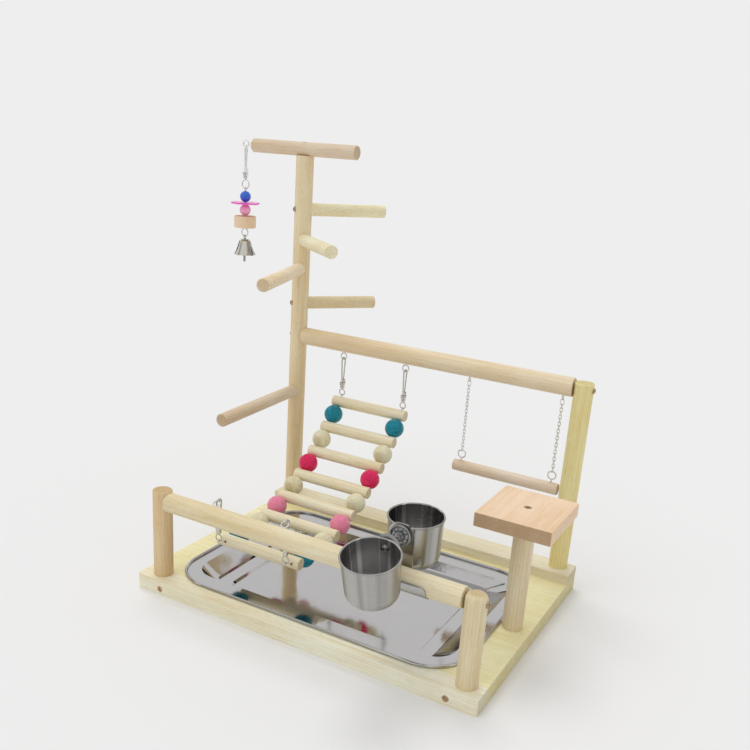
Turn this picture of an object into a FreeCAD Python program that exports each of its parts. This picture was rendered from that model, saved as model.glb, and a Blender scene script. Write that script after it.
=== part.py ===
"""Wooden parrot play stand: base with a steel tray, posts, perches, swing, ladder, toy and cups.

Millimetres, +Z up. The origin is the centre of the base's underside, +X runs to the right
along the front edge and +Y to the back. Each sub-part is written to parts/NAME.step.
"""
import FreeCAD
import Part
import math
import os

V = FreeCAD.Vector
UP = V(0, 0, 1)
DOWN = V(0, 0, -1)
ALONG_X = V(1, 0, 0)
ALONG_Y = V(0, 1, 0)

# ---- driving dimensions -------------------------------------------------------------------

# base
BASE_LENGTH = 478.0
BASE_DEPTH = 344.0
BOARD_THICK = 21.0
FRONT_BATTEN_DEPTH = 27.0
BACK_BATTEN_DEPTH = 38.0
BACK_BATTEN_HEIGHT = 13.5
BASE_CORNER_R = 3.0
BASE_EDGE_R = 0.8            # easing of the base's upper outer edges
BATTEN_SCREW_X = (-202.5, 201.5)
BATTEN_SCREW_Z = 8.5
BATTEN_SCREW_LENGTH = 42.0
FOOT_SCREW_BITE = 32.0       # how far a foot screw reaches up into its post

# dowel stock
POST_R = 12.5
SIDE_PERCH_R = 9.0
TOP_PERCH_R = 9.6
RUNG_R = 8.0
SWING_BAR_R = 8.0
END_CHAMFER = 0.8

# posts: centre on the base and height of the top
BACK_ROW_Y = 157.6
FRONT_ROW_Y = -152.8
TALL_POST_X = -220.3
TALL_POST_TOP = 541.9
RIGHT_BACK_X = 217.0
RIGHT_BACK_TOP = 294.0
FRONT_LEFT_X = -212.3
FRONT_LEFT_TOP = 138.0
FRONT_RIGHT_X = 217.0
FRONT_RIGHT_TOP = 134.5
PLATFORM_X = 215.1
PLATFORM_Y = -9.3
PLATFORM_POST_TOP = 162.0
PLATFORM_SIZE = (92.0, 101.0, 17.4)
PLATFORM_EDGE_R = 1.0
POST_DOME_R = 8.5

# perches
SEAT_DISTANCE = 7.5          # from a post's axis to the flat end of a side perch let into it
LONG_SEAT_DISTANCE = 9.6     # the same for the left ends of the two thick perches
SEAT_GAP = 0.05              # radial play of a perch in its seat, and of the saddle and bolt holes
PERCH_SCREW_LENGTH = 48.0
LONG_SCREW_LENGTH = 50.0
TOP_SCREW_SINK = 0.4
BUTT_GAP = 0.5               # gap between a thick perch's right end and the post it butts on
LONG_PERCH_Z = 285.5
FRONT_PERCH_Z = 123.8
TOP_PERCH_Z = 550.7
TOP_PERCH_LEFT = 88.5        # reach to each side of the tall post's axis
TOP_PERCH_RIGHT = 84.1
SIDE_PERCHES = (             # height, heading in degrees from +X, reach from the post's axis
    (468.5, 50.0, 125.0),
    (425.9, -39.0, 130.0),
    (384.6, -73.0, 171.0),
    (334.0, 50.0, 117.0),
    (200.5, -87.5, 194.0),
)

# wood screws
SCREW_R = 1.8
PAN_HEAD_R = 3.8
PAN_HEAD_H = 2.4
FLAT_HEAD_R = 4.2
FLAT_HEAD_H = 2.6
CROSS_LONG = 4.4
CROSS_WIDE = 0.9
CROSS_DEEP = 1.3

# tray
TRAY_CENTRE = (-2.0, -17.5)
TRAY_SIZE = (406.0, 274.0)
TRAY_CORNER_R = 55.0
TRAY_SHEET = 0.8
TRAY_BEAD_R = 1.8
OPENING_INSET = (18.0, 24.0)     # from the tray's outer edge to the board's opening, X and Y
OPENING_CORNER_R = 31.0
TRAY_PROFILE = (             # inset along X and along Y, corner radius, height of the upper side
    (19.0, 26.0, 30.0, 21.8),
    (43.0, 31.5, 24.0, 9.5),
    (46.0, 33.0, 22.0, 7.5),
    (63.0, 43.5, 16.0, 6.8),
    (66.0, 46.0, 14.0, 3.8),
)

# screw eyes
EYE_RING_R = 4.7
EYE_WIRE_R = 1.0
EYE_SHANK_R = 1.3
EYE_GRIP = 9.0               # length of shank inside the wood
LINK_GAP = 0.2               # free space where two rings hang in each other

# swing
SWING_X = 126.0
SWING_EYE_HALF = 65.5
SWING_BAR_LENGTH = 152.0
SWING_BAR_Z = 143.0
SWING_TOP_EYE_R = 3.0
SWING_TOP_EYE_WIRE_R = 0.8
SWING_TOP_EYE_Z = 269.0
SWING_BAR_EYE_R = 5.5
SWING_BAR_EYE_Z = 161.0
CHAIN_WIRE_R = 0.6
CHAIN_LINKS = 20
CHAIN_LINK_HALF_WIDTH = 1.6
END_LINK_HALF_WIDTH = 2.3
END_LINK_LENGTH = 8.0
CHAIN_GAP = 0.1

# ladder: the two wires hang in one catenary curve
LADDER_X = -88.5
LADDER_WIRE_HALF = 51.0
RUNG_LENGTH = 120.0
RUNG_COUNT = 8
RUNG_PITCH = 43.35
CURVE_A = 226.6              # catenary constant
CURVE_LOW_Y = -80.4
CURVE_LOW_Z = 69.9
FIRST_RUNG_ARC = 273.3       # along the curve from its lowest point
LADDER_BEAD_R = 13.5
LADDER_WIRE_R = 0.7
WIRE_BEND_SWELL = 1.02       # the wire is a little fuller at each bend
RUNG_BORE_R = 2.0
BEAD_BORE_R = 1.2
WIRE_LOOP_R = 2.2
WIRE_LOOP_RISE = 0.5         # a loop's centre hangs this far below the ring that holds it
BEAD_COLOURS = ("teal", "natural", "crimson", "natural", "pink", "natural", "teal")

# snap hooks, drawn hanging from the origin in the YZ plane
HOOK_WIRE_R = 1.1
HOOK_BOW_R = 4.6
HOOK_FOOT = (1.8, -38.5)     # lower end of each arm
HOOK_NOSE = 5.0              # straight length of the bow's free end
HOOK_BODY = (4.2, -41.0, -37.5)
HOOK_COLLAR = (3.3, -46.0, -41.0)
HOOK_SWIVEL_R = 1.2
HOOK_SWIVEL_HEAD_R = 2.0
HOOK_SWIVEL_HEAD = (-44.1, -42.6)
HOOK_RING_TOP = -48.2
HOOK_RING_WIRE_R = 0.8
LADDER_HOOK_RING_R = 4.4
TOY_HOOK_RING_R = 6.2
GATE_R = 0.95
GATE_PIVOT_RISE = 4.5        # pivot above the arm's lower end
GATE_PIN_R = 0.7
GATE_PIN_HALF = 2.6
GATE_EAR_IN = 1.3
GATE_EAR_OUT = 2.3
GATE_EAR_R = 1.7
GATE_NOSE_GAP = 0.3
RUNNING_GAP = 0.06

# eyes that hold the ladder
LADDER_TOP_EYE_Z = 266.5
LADDER_FRONT_EYE_ANGLE = 27.0
LADDER_FRONT_EYE_REACH = 19.4    # from the front perch's axis to the eye's centre

# toy that hangs from the top perch's left end
TOY_EYE_OUT = 14.7           # from the perch's end to the eye's centre
TOY_EYE_Z = 552.0
TOY_HOOK_TURN = 20.0         # degrees that the toy's hook is turned on its own length
BLUE_BEAD = (8.0, 477.5)
FLOWER_Z = 468.1
FLOWER_THICK = 2.2
FLOWER_R = 21.2
FLOWER_PETALS = 8
PETAL_R = 5.8
PINK_BEAD = (8.2, 458.2)
WOOD_DISC = (16.2, 432.6, 449.4)
TOY_WIRE_R = 0.7
TOY_LOOP_R = 5.6
TOY_LOOP_Z = 425.4
TOY_STOP_R = 2.0
TOY_STOP_THICK = 0.8
SPIN_GAP = 0.3
BELL_LOOP_R = 2.2
BELL_TOP_Z = 416.2
BELL_RIM_Z = 392.9
BELL_RIM_R = 16.6
BELL_SHEET = 0.8
BELL_NECK_R = 1.6
CLAPPER_RING_Z = 411.8
CLAPPER_RING_R = 1.9
CLAPPER_PIN_R = 1.7
CLAPPER_PIN_TOP_Z = 404.0
CLAPPER_FOOT_Z = 383.4
CLAPPER_ROD_R = 0.7

# cup bracket and cups
BRACKET_X = 119.5
BRACKET_SHEET = 1.5
SADDLE_LENGTH = 90.0
SADDLE_WRAP = 3.0            # the saddle's edges stand this far above the perch's axis
SADDLE_CORNER_R = 7.0
TONGUE_WIDTH = 31.0
FRONT_TONGUE_ABOVE_BOLT = 10.0
REAR_TONGUE_ABOVE_BOLT = 13.2
TONGUE_CORNER_R = 12.0
FRONT_LEAN = 12.0            # degrees that the front tongue and its cup lean forward
REAR_LEAN = 2.6
FRONT_BOLT_UP = 47.6         # along the tongue from its foot to the bolt
REAR_BOLT_UP = 44.0
FRONT_RIM_ABOVE_BOLT = 10.5
REAR_RIM_ABOVE_BOLT = 8.0
FRONT_CUP_DEPTH = 55.5
REAR_CUP_DEPTH = 58.5
CUP_TOP_R = 31.9
CUP_TAPER = 2.2
CUP_SHEET = 0.8
CUP_BOTTOM_R = 14.0
CUP_RIM_WIRE_R = 1.2
CUP_STANDOFF = 0.3
CUP_BOLT_R = 2.5
BOLT_HEAD_R = 5.0
BOLT_HEAD_H = 3.6
BOLT_BEYOND_NUT = 2.0
ROSETTE_R = 13.0
ROSETTE_THICK = 7.0
ROSETTE_TEETH = 24
ROSETTE_TOOTH_R = 1.0

# ---- small shared shapes ------------------------------------------------------------------


def rod(start, end, radius):
    """A round bar from one point to another."""
    run = end - start
    return Part.makeCylinder(radius, run.Length, start, run)


def dowel(start, end, radius):
    """A wooden bar with lightly chamfered ends."""
    bar = rod(start, end, radius)
    rims = [edge for edge in bar.Edges if isinstance(edge.Curve, Part.Circle)]
    return bar.makeChamfer(END_CHAMFER, rims)


def ring(centre, normal, ring_r, wire_r):
    return Part.makeTorus(ring_r, wire_r, centre, normal)


def ball(centre, radius):
    return Part.makeSphere(radius, centre)


def box(low, high):
    size = high - low
    return Part.makeBox(size.x, size.y, size.z, low)


def merged(shapes):
    """One solid out of shapes that join."""
    whole = shapes[0]
    for shape in shapes[1:]:
        whole = whole.fuse(shape)
    return whole.removeSplitter()


def turned(profile, centre, axis):
    """A solid of revolution from (radius, height) points, standing on centre along axis."""
    points = [V(radius, 0, height) for radius, height in profile]
    outline = Part.makePolygon(points + [points[0]])
    solid = Part.Face(outline).revolve(V(0, 0, 0), UP, 360)
    solid = Part.makeSolid(solid) if solid.ShapeType != "Solid" else solid
    solid.Placement = FreeCAD.Placement(centre, FreeCAD.Rotation(UP, axis))
    return solid


def rounded_rectangle(width, depth, corner, centre, z):
    """A closed wire with four round corners, level at height z."""
    x, y = width / 2, depth / 2
    edges = []
    corners = ((x - corner, y - corner, 0), (corner - x, y - corner, 90),
               (corner - x, corner - y, 180), (x - corner, corner - y, 270))
    for index, (cx, cy, start) in enumerate(corners):
        middle = V(centre[0] + cx, centre[1] + cy, z)
        edges.append(Part.makeCircle(corner, middle, UP, start, start + 90))
        next_x, next_y, next_start = corners[(index + 1) % 4]
        leave = math.radians(start + 90)
        begin = middle + V(math.cos(leave), math.sin(leave), 0) * corner
        end = V(centre[0] + next_x, centre[1] + next_y, z)
        end = end + V(math.cos(leave), math.sin(leave), 0) * corner
        edges.append(Part.makeLine(begin, end))
    return Part.Wire(edges)


def save(name, *solids):
    shape = solids[0] if len(solids) == 1 else Part.makeCompound(list(solids))
    shape.exportStep("parts/" + name + ".step")


# ---- fasteners ----------------------------------------------------------------------------


def cross_recess(top, inward):
    """The cross cut into a screw's head, in the frame of the head."""
    arms = []
    for turn in (0, 90):
        arm = Part.makeBox(CROSS_LONG, CROSS_WIDE, CROSS_DEEP,
                           V(-CROSS_LONG / 2, -CROSS_WIDE / 2, -CROSS_DEEP))
        arm.rotate(V(0, 0, 0), UP, turn + 45)
        arms.append(arm)
    recess = merged(arms)
    recess.Placement = FreeCAD.Placement(top, FreeCAD.Rotation(UP, inward * -1))
    return recess


class Screw:
    """A wood screw, and the plain space that it fills in the wood around it."""

    def __init__(self, profile, seat, inward, head_height):
        self.hole = turned(profile, seat, inward * -1)
        self.solid = self.hole.cut(cross_recess(seat - inward * head_height, inward))


def pan_screw(seat, inward, length):
    """A screw whose round head stands on the surface at seat."""
    profile = [(0, PAN_HEAD_H), (PAN_HEAD_R * 0.5, PAN_HEAD_H * 0.92),
               (PAN_HEAD_R * 0.85, PAN_HEAD_H * 0.6), (PAN_HEAD_R, PAN_HEAD_H * 0.2),
               (PAN_HEAD_R, 0), (SCREW_R, 0), (SCREW_R, 4 - length), (0, -length)]
    return Screw(profile, seat, inward, PAN_HEAD_H)


def flat_screw(seat, inward, length):
    """A countersunk screw whose head is level with the surface at seat."""
    profile = [(0, 0), (FLAT_HEAD_R, 0), (FLAT_HEAD_R, -0.4), (SCREW_R, -FLAT_HEAD_H),
               (SCREW_R, 4 - length), (0, -length)]
    return Screw(profile, seat, inward, 0.0)


def screw_eye(centre, shank, normal, ring_r, wire_r, reach):
    """A ring on a shank; shank points from the ring to the wood, whose face is at reach."""
    start = centre + shank * ring_r
    end = centre + shank * (reach + EYE_GRIP)
    return merged([ring(centre, normal, ring_r, wire_r), rod(start, end, EYE_SHANK_R)])


# ---- wooden frame -------------------------------------------------------------------------


def heading(degrees):
    angle = math.radians(degrees)
    return V(math.cos(angle), math.sin(angle), 0)


def post(x, y, low, high, dome=0.0):
    bar = Part.makeCylinder(POST_R, high - low, V(x, y, low))
    top = [edge for edge in bar.Edges
           if isinstance(edge.Curve, Part.Circle) and edge.Curve.Center.z > high - 0.1]
    if dome:
        return bar.makeFillet(dome, top)
    return bar.makeChamfer(END_CHAMFER, top)


def perch_between(left_x, right_x, y, z):
    """A thick perch let into the left post; its right end butts on the right post's side."""
    start = V(left_x + LONG_SEAT_DISTANCE, y, z)
    end = V(right_x - POST_R - BUTT_GAP, y, z)
    return dowel(start, end, POST_R)


def pocket(axis_point, out, distance, radius):
    """The round flat-bottomed seat that a perch's end sits in."""
    start = axis_point + out * distance
    return rod(start, start + out * POST_R, radius + SEAT_GAP)


def tray_opening(low, high):
    wire = rounded_rectangle(TRAY_SIZE[0] - 2 * OPENING_INSET[0],
                             TRAY_SIZE[1] - 2 * OPENING_INSET[1],
                             OPENING_CORNER_R, TRAY_CENTRE, low)
    return Part.Face(wire).extrude(V(0, 0, high - low))


def eased(board, wanted):
    """The board with its upper edges rounded where wanted(edge) says so."""
    edges = [edge for edge in board.Edges
             if min(vertex.Z for vertex in edge.Vertexes) > board.BoundBox.ZMax - 0.01
             and wanted(edge.BoundBox)]
    return board.makeFillet(BASE_EDGE_R, edges)


half_length = BASE_LENGTH / 2
half_depth = BASE_DEPTH / 2
batten_top = BOARD_THICK + BACK_BATTEN_HEIGHT
front_joint_y = FRONT_BATTEN_DEPTH - half_depth

side_headings = [heading(degrees) for _, degrees, _ in SIDE_PERCHES]
side_centres = [V(TALL_POST_X, BACK_ROW_Y, z) for z, _, _ in SIDE_PERCHES]

side_perches = []
for centre, out, (_, _, reach) in zip(side_centres, side_headings, SIDE_PERCHES):
    side_perches.append(dowel(centre + out * SEAT_DISTANCE, centre + out * reach, SIDE_PERCH_R))

long_perch = perch_between(TALL_POST_X, RIGHT_BACK_X, BACK_ROW_Y, LONG_PERCH_Z)
front_perch = perch_between(FRONT_LEFT_X, FRONT_RIGHT_X, FRONT_ROW_Y, FRONT_PERCH_Z)
top_perch = dowel(V(TALL_POST_X - TOP_PERCH_LEFT, BACK_ROW_Y, TOP_PERCH_Z),
                  V(TALL_POST_X + TOP_PERCH_RIGHT, BACK_ROW_Y, TOP_PERCH_Z), TOP_PERCH_R)

tall_post = post(TALL_POST_X, BACK_ROW_Y, batten_top, TALL_POST_TOP)
for centre, out in zip(side_centres, side_headings):
    tall_post = tall_post.cut(pocket(centre, out, SEAT_DISTANCE, SIDE_PERCH_R))
tall_post = tall_post.cut(
    pocket(V(TALL_POST_X, BACK_ROW_Y, LONG_PERCH_Z), ALONG_X, LONG_SEAT_DISTANCE, POST_R))
tall_post = tall_post.cut(top_perch)

right_back_post = post(RIGHT_BACK_X, BACK_ROW_Y, batten_top, RIGHT_BACK_TOP)
front_left_post = post(FRONT_LEFT_X, FRONT_ROW_Y, BOARD_THICK, FRONT_LEFT_TOP)
front_left_post = front_left_post.cut(
    pocket(V(FRONT_LEFT_X, FRONT_ROW_Y, FRONT_PERCH_Z), ALONG_X, LONG_SEAT_DISTANCE, POST_R))
front_right_post = post(FRONT_RIGHT_X, FRONT_ROW_Y, BOARD_THICK, FRONT_RIGHT_TOP, POST_DOME_R)
platform_post = post(PLATFORM_X, PLATFORM_Y, BOARD_THICK, PLATFORM_POST_TOP)

block_half = V(PLATFORM_SIZE[0] / 2, PLATFORM_SIZE[1] / 2, 0)
block_low = V(PLATFORM_X, PLATFORM_Y, PLATFORM_POST_TOP) - block_half
block_high = V(PLATFORM_X, PLATFORM_Y, PLATFORM_POST_TOP + PLATFORM_SIZE[2]) + block_half
platform_block = box(block_low, block_high)
platform_block = platform_block.makeFillet(PLATFORM_EDGE_R, platform_block.Edges)

base_panel = box(V(-half_length, front_joint_y, 0), V(half_length, half_depth, BOARD_THICK))
base_panel = eased(base_panel, lambda bounds: bounds.XLength < 1)
base_panel = base_panel.cut(tray_opening(-1, BOARD_THICK + 1))
front_batten = box(V(-half_length, -half_depth, 0), V(half_length, front_joint_y, BOARD_THICK))
front_corners = [edge for edge in front_batten.Edges
                 if abs(edge.Vertexes[0].Z - edge.Vertexes[-1].Z) > 1
                 and edge.Vertexes[0].Y < -half_depth + 1]
front_batten = front_batten.makeFillet(BASE_CORNER_R, front_corners)
front_batten = eased(front_batten, lambda bounds: bounds.YMin < front_joint_y - 0.01)
back_batten = box(V(-half_length, half_depth - BACK_BATTEN_DEPTH, BOARD_THICK),
                  V(half_length, half_depth, batten_top))
back_batten = eased(back_batten, lambda bounds: True)

screws = []
for x in BATTEN_SCREW_X:
    screws.append(flat_screw(V(x, -half_depth, BATTEN_SCREW_Z), ALONG_Y, BATTEN_SCREW_LENGTH))
for x, y, foot in ((TALL_POST_X, BACK_ROW_Y, batten_top), (RIGHT_BACK_X, BACK_ROW_Y, batten_top),
                   (FRONT_LEFT_X, FRONT_ROW_Y, BOARD_THICK),
                   (FRONT_RIGHT_X, FRONT_ROW_Y, BOARD_THICK),
                   (PLATFORM_X, PLATFORM_Y, BOARD_THICK)):
    screws.append(flat_screw(V(x, y, 0), UP, foot + FOOT_SCREW_BITE))
for centre, out in zip(side_centres, side_headings):
    screws.append(pan_screw(centre - out * POST_R, out, PERCH_SCREW_LENGTH))
for x, y, z, inward in ((TALL_POST_X, BACK_ROW_Y, LONG_PERCH_Z, ALONG_X),
                        (RIGHT_BACK_X, BACK_ROW_Y, LONG_PERCH_Z, ALONG_X * -1),
                        (FRONT_LEFT_X, FRONT_ROW_Y, FRONT_PERCH_Z, ALONG_X),
                        (FRONT_RIGHT_X, FRONT_ROW_Y, FRONT_PERCH_Z, ALONG_X * -1)):
    screws.append(pan_screw(V(x, y, z) - inward * POST_R, inward, PERCH_SCREW_LENGTH))
screws.append(flat_screw(V(TALL_POST_X, BACK_ROW_Y, TOP_PERCH_Z + TOP_PERCH_R - TOP_SCREW_SINK),
                         DOWN, LONG_SCREW_LENGTH))
screws.append(flat_screw(V(PLATFORM_X, PLATFORM_Y, PLATFORM_POST_TOP + PLATFORM_SIZE[2]),
                         DOWN, LONG_SCREW_LENGTH))


# ---- tray ---------------------------------------------------------------------------------


def tray_ring(inset_x, inset_y, corner, z):
    return rounded_rectangle(TRAY_SIZE[0] - 2 * inset_x, TRAY_SIZE[1] - 2 * inset_y, corner,
                             TRAY_CENTRE, z)


def basin(drop, narrow):
    """The filled shape of the basin, lowered by drop and narrowed by narrow."""
    layers = []
    for upper, lower in zip(TRAY_PROFILE, TRAY_PROFILE[1:]):
        rings = [tray_ring(inset_x + narrow, inset_y + narrow, corner - narrow, z - drop)
                 for inset_x, inset_y, corner, z in (upper, lower)]
        layers.append(Part.makeLoft(rings, True, True))
    return merged(layers)


flange_top = TRAY_PROFILE[0][-1]
flange_inset = TRAY_BEAD_R
flange_corner = TRAY_CORNER_R - flange_inset
flange = Part.Face(tray_ring(flange_inset, flange_inset, flange_corner, flange_top - TRAY_SHEET))
flange = flange.extrude(V(0, 0, TRAY_SHEET))
tray = flange.fuse(basin(TRAY_SHEET, 0)).removeSplitter()
tray = tray.cut(basin(0, TRAY_SHEET))
bead_path = tray_ring(flange_inset, flange_inset, flange_corner, BOARD_THICK + TRAY_BEAD_R + 0.3)
bead_start = V(TRAY_CENTRE[0] + TRAY_SIZE[0] / 2 - flange_inset, TRAY_CENTRE[1],
               BOARD_THICK + TRAY_BEAD_R + 0.3)
bead_section = Part.Wire(Part.makeCircle(TRAY_BEAD_R, bead_start, ALONG_Y))
bead = bead_path.makePipeShell([bead_section], True, True)
tray = tray.fuse(bead).removeSplitter()


# ---- swing --------------------------------------------------------------------------------


def chain_link(centre, length, half_width, across):
    """An oval link standing upright; across is the direction of its width."""
    straight = length / 2 - half_width
    normal = UP.cross(across)
    parts = []
    for side in (-1, 1):
        offset = across * (half_width * side)
        parts.append(rod(centre + offset - UP * straight, centre + offset + UP * straight,
                         CHAIN_WIRE_R))
    for end in (-1, 1):
        middle = centre + UP * (straight * end)
        start = middle + across * half_width
        section = Part.Face(Part.Wire(Part.makeCircle(CHAIN_WIRE_R, start, UP)))
        parts.append(section.revolve(middle, normal, -180 * end))
    return merged(parts)


swing_xs = (SWING_X - SWING_EYE_HALF, SWING_X + SWING_EYE_HALF)
swing_pivot_z = (SWING_TOP_EYE_Z - SWING_TOP_EYE_R + SWING_TOP_EYE_WIRE_R + CHAIN_WIRE_R
                 + LINK_GAP)
bar_pivot_z = SWING_BAR_EYE_Z + SWING_BAR_EYE_R
chain_foot_z = bar_pivot_z - EYE_WIRE_R - CHAIN_WIRE_R - LINK_GAP
link_step = 2 * CHAIN_WIRE_R + CHAIN_GAP
inner_links = CHAIN_LINKS - 2
link_length = ((swing_pivot_z - chain_foot_z) - 2 * END_LINK_LENGTH
               + (CHAIN_LINKS - 1) * link_step) / inner_links


def chain(x):
    links = []
    top = swing_pivot_z
    for index in range(CHAIN_LINKS):
        at_end = index in (0, CHAIN_LINKS - 1)
        length = END_LINK_LENGTH if at_end else link_length
        half_width = END_LINK_HALF_WIDTH if at_end else CHAIN_LINK_HALF_WIDTH
        across = ALONG_X if index % 2 == 0 else ALONG_Y
        centre = V(x, BACK_ROW_Y, top - length / 2)
        links.append(chain_link(centre, length, half_width, across))
        top = top - length + link_step
    return links


swing_chains = []
swing_eyes = []
swing_bar_eyes = []
perch_underside = LONG_PERCH_Z - POST_R
bar_top = SWING_BAR_Z + SWING_BAR_R
for x in swing_xs:
    swing_chains += chain(x)
    swing_eyes.append(screw_eye(V(x, BACK_ROW_Y, SWING_TOP_EYE_Z), UP, ALONG_X, SWING_TOP_EYE_R,
                                SWING_TOP_EYE_WIRE_R, perch_underside - SWING_TOP_EYE_Z))
    swing_bar_eyes.append(screw_eye(V(x, BACK_ROW_Y, SWING_BAR_EYE_Z), DOWN, ALONG_Y,
                                    SWING_BAR_EYE_R, EYE_WIRE_R, SWING_BAR_EYE_Z - bar_top))
swing_bar = dowel(V(SWING_X - SWING_BAR_LENGTH / 2, BACK_ROW_Y, SWING_BAR_Z),
                  V(SWING_X + SWING_BAR_LENGTH / 2, BACK_ROW_Y, SWING_BAR_Z), SWING_BAR_R)
for eye in swing_bar_eyes:
    swing_bar = swing_bar.cut(eye)


# ---- snap hook ----------------------------------------------------------------------------


def arm_tangent():
    """Where the straight arm on the +Y side meets the bow, and the arm's direction downwards."""
    foot = V(0, HOOK_FOOT[0], HOOK_FOOT[1])
    bow_centre = V(0, 0, -HOOK_BOW_R)
    span = foot - bow_centre
    distance = span.Length
    to_foot = math.atan2(span.z, span.y)
    touch = to_foot + math.acos(HOOK_BOW_R / distance)
    point = bow_centre + V(0, math.cos(touch), math.sin(touch)) * HOOK_BOW_R
    down = (foot - point).normalize()
    return point, down, touch, foot


def snap_hook(place, ring_r):
    """The hook's frame, its gate and its swivel ring; place is the top of the bow's wire."""
    point, down, touch, foot = arm_tangent()
    bow_centre = V(0, 0, -HOOK_BOW_R)
    mirror_point = V(0, -point.y, point.z)
    mirror_foot = V(0, -foot.y, foot.z)
    section = Part.Face(Part.Wire(Part.makeCircle(HOOK_WIRE_R, point, down)))
    sweep = 180 - 2 * math.degrees(touch)
    bow = section.revolve(bow_centre, ALONG_X, sweep)
    nose_end = point + down * HOOK_NOSE
    pivot = foot - down * GATE_PIVOT_RISE
    body = Part.makeCylinder(HOOK_BODY[0], HOOK_BODY[2] - HOOK_BODY[1], V(0, 0, HOOK_BODY[1]))
    collar = Part.makeCylinder(HOOK_COLLAR[0], HOOK_COLLAR[2] - HOOK_COLLAR[1],
                               V(0, 0, HOOK_COLLAR[1]))
    frame = [bow, rod(point, nose_end, HOOK_WIRE_R), rod(mirror_point, mirror_foot, HOOK_WIRE_R),
             body, collar]
    pin_room = Part.makeCylinder(GATE_PIN_R + RUNNING_GAP, 2 * GATE_PIN_HALF,
                                 pivot - ALONG_X * GATE_PIN_HALF, ALONG_X)
    for side in (-1, 1):
        inner = ALONG_X * (GATE_EAR_IN * side)
        outer = ALONG_X * (GATE_EAR_OUT * side)
        ear = rod(pivot + inner, pivot + outer, GATE_EAR_R)
        low = V(min(inner.x, outer.x), pivot.y - GATE_EAR_R, HOOK_BODY[1] + 1)
        high = V(max(inner.x, outer.x), pivot.y + GATE_EAR_R, pivot.z)
        frame.append(ear.fuse(box(low, high)))
    hook = merged(frame).cut(pin_room)
    bore = rod(V(0, 0, HOOK_COLLAR[1] - 1), V(0, 0, HOOK_SWIVEL_HEAD[0]), HOOK_SWIVEL_R + RUNNING_GAP)
    chamber = rod(V(0, 0, HOOK_SWIVEL_HEAD[0] - 0.2), V(0, 0, HOOK_SWIVEL_HEAD[1] + 0.2),
                  HOOK_SWIVEL_HEAD_R + 0.2)
    hook = hook.cut(bore).cut(chamber)

    gate_top = nose_end + down * GATE_NOSE_GAP
    pin = Part.makeCylinder(GATE_PIN_R, 2 * GATE_PIN_HALF, pivot - ALONG_X * GATE_PIN_HALF,
                            ALONG_X)
    gate = merged([rod(gate_top, pivot, GATE_R), ball(pivot, GATE_R + 0.15), pin])

    ring_centre = V(0, 0, HOOK_RING_TOP - ring_r)
    stem = rod(V(0, 0, HOOK_RING_TOP), V(0, 0, HOOK_SWIVEL_HEAD[0]), HOOK_SWIVEL_R)
    head = rod(V(0, 0, HOOK_SWIVEL_HEAD[0]), V(0, 0, HOOK_SWIVEL_HEAD[1]), HOOK_SWIVEL_HEAD_R)
    swivel = merged([ring(ring_centre, ALONG_Y, ring_r, HOOK_RING_WIRE_R), stem, head])
    for shape in (hook, gate, swivel):
        shape.translate(place)
    return hook, gate, swivel


hook_rise = EYE_WIRE_R + HOOK_WIRE_R + LINK_GAP
ladder_hook_drop = -(HOOK_RING_TOP - 2 * LADDER_HOOK_RING_R)


# ---- ladder -------------------------------------------------------------------------------


def curve_point(arc):
    """The ladder's hanging curve at a length from its lowest point, as (y, z)."""
    y = CURVE_LOW_Y + CURVE_A * math.asinh(arc / CURVE_A)
    z = CURVE_LOW_Z + CURVE_A * (math.cosh((y - CURVE_LOW_Y) / CURVE_A) - 1)
    return V(0, y, z)


front_out = V(0, math.cos(math.radians(LADDER_FRONT_EYE_ANGLE)),
              math.sin(math.radians(LADDER_FRONT_EYE_ANGLE)))
front_eye_normal = ALONG_X.cross(front_out)
front_perch_axis = V(0, FRONT_ROW_Y, FRONT_PERCH_Z)
front_eye_centre = front_perch_axis + front_out * LADDER_FRONT_EYE_REACH
top_hook_place = V(0, BACK_ROW_Y, LADDER_TOP_EYE_Z - EYE_RING_R + hook_rise)
front_hook_place = front_eye_centre + front_out * EYE_RING_R + UP * hook_rise
ladder_xs = (LADDER_X - LADDER_WIRE_HALF, LADDER_X + LADDER_WIRE_HALF)

rung_centres = [curve_point(FIRST_RUNG_ARC - index * RUNG_PITCH) for index in range(RUNG_COUNT)]


def loop_centre(hook_place):
    return hook_place - UP * (ladder_hook_drop + WIRE_LOOP_RISE)


ladder_eyes = []
ladder_wires = []
ladder_hooks = []
wire_route = [loop_centre(top_hook_place)] + rung_centres + [loop_centre(front_hook_place)]
for x in ladder_xs:
    ladder_eyes.append(screw_eye(V(x, BACK_ROW_Y, LADDER_TOP_EYE_Z), UP, ALONG_Y, EYE_RING_R,
                                 EYE_WIRE_R, perch_underside - LADDER_TOP_EYE_Z))
for x in ladder_xs:
    shift = ALONG_X * x
    ladder_eyes.append(screw_eye(front_eye_centre + shift, front_out * -1, front_eye_normal,
                                 EYE_RING_R, EYE_WIRE_R, LADDER_FRONT_EYE_REACH - POST_R))
for place in (top_hook_place, front_hook_place):
    for x in ladder_xs:
        ladder_hooks.append(snap_hook(place + ALONG_X * x, LADDER_HOOK_RING_R))
for x in ladder_xs:
    shift = ALONG_X * x
    ends = [wire_route[0], wire_route[-1]]
    inner = [wire_route[1], wire_route[-2]]
    pieces = []
    for end, near in zip(ends, inner):
        pieces.append(ring(end + shift, ALONG_X, WIRE_LOOP_R, LADDER_WIRE_R))
        toward = (near - end).normalize()
        pieces.append(rod(end + shift + toward * WIRE_LOOP_R, near + shift, LADDER_WIRE_R))
    for start, end in zip(rung_centres, rung_centres[1:]):
        pieces.append(rod(start + shift, end + shift, LADDER_WIRE_R))
    for centre in rung_centres:
        pieces.append(ball(centre + shift, LADDER_WIRE_R * WIRE_BEND_SWELL))
    ladder_wires.append(merged(pieces))

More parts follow.
